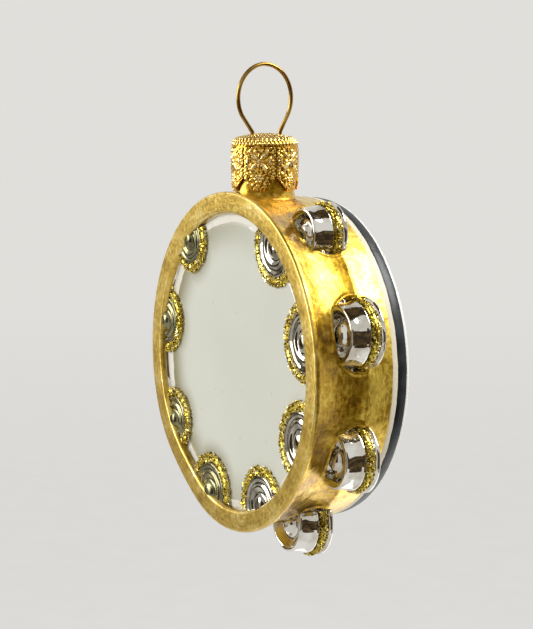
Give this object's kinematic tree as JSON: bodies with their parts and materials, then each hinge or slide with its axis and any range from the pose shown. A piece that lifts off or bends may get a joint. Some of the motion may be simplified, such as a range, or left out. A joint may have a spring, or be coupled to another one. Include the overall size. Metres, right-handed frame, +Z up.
{
  "type": "tambourine ornament",
  "caption": "Hanging blown-glass ornament shaped like a tambourine, with moulded jingles, glitter beads, a crown cap and a wire loop.",
  "frame": {"origin": "the point the ornament hangs from: inside of the wire loop's crown, on the neck's axis", "axes": "+Z up along the neck's axis, -Y out of the drum's front face, +X to the right seen from the front"},
  "size_m": [0.0741, 0.0227, 0.0932],
  "materials": {
    "silvered_glass": "silvered inside, mirror bright",
    "gold_lacquer": "mottled metallic gold lacquer",
    "pearl_enamel": "pearl, satin",
    "ivory_enamel": "gloss",
    "head_enamel": "satin",
    "black_enamel": "gloss, hand brushed",
    "gold_glitter": "glitter in clear glue",
    "cap_brass": "embossed, bright",
    "wire_brass": "bright drawn wire"
  },
  "bodies": {
    "hanger": {"hanger_wire": "wire_brass"},
    "cap": {"cap": "cap_brass"},
    "drum": {"glass_body": "silvered_glass", "gold_lacquer": "gold_lacquer", "face_enamel": "pearl_enamel", "ivory_line": "ivory_enamel", "black_band": "black_enamel", "back_enamel": "head_enamel", "outer_glitter_1": "gold_glitter", "outer_glitter_2": "gold_glitter", "outer_glitter_3": "gold_glitter", "outer_glitter_4": "gold_glitter", "outer_glitter_5": "gold_glitter", "outer_glitter_6": "gold_glitter", "outer_glitter_7": "gold_glitter", "outer_glitter_8": "gold_glitter", "inner_glitter_1": "gold_glitter", "inner_glitter_2": "gold_glitter", "inner_glitter_3": "gold_glitter", "inner_glitter_4": "gold_glitter", "inner_glitter_5": "gold_glitter", "inner_glitter_6": "gold_glitter", "inner_glitter_7": "gold_glitter", "inner_glitter_8": "gold_glitter"}
  },
  "joints": [
    {"name": "hanger_tilt", "type": "hinge", "parent": "hanger", "child": "cap", "pos_m": [0, 0, -0.01285], "axis": [0, 1, 0], "range_deg": [-8, 8]},
    {"name": "cap_lift", "type": "slide", "parent": "cap", "child": "drum", "axis": [0, 0, -1], "range_m": [0, 0.014]}
  ]
}
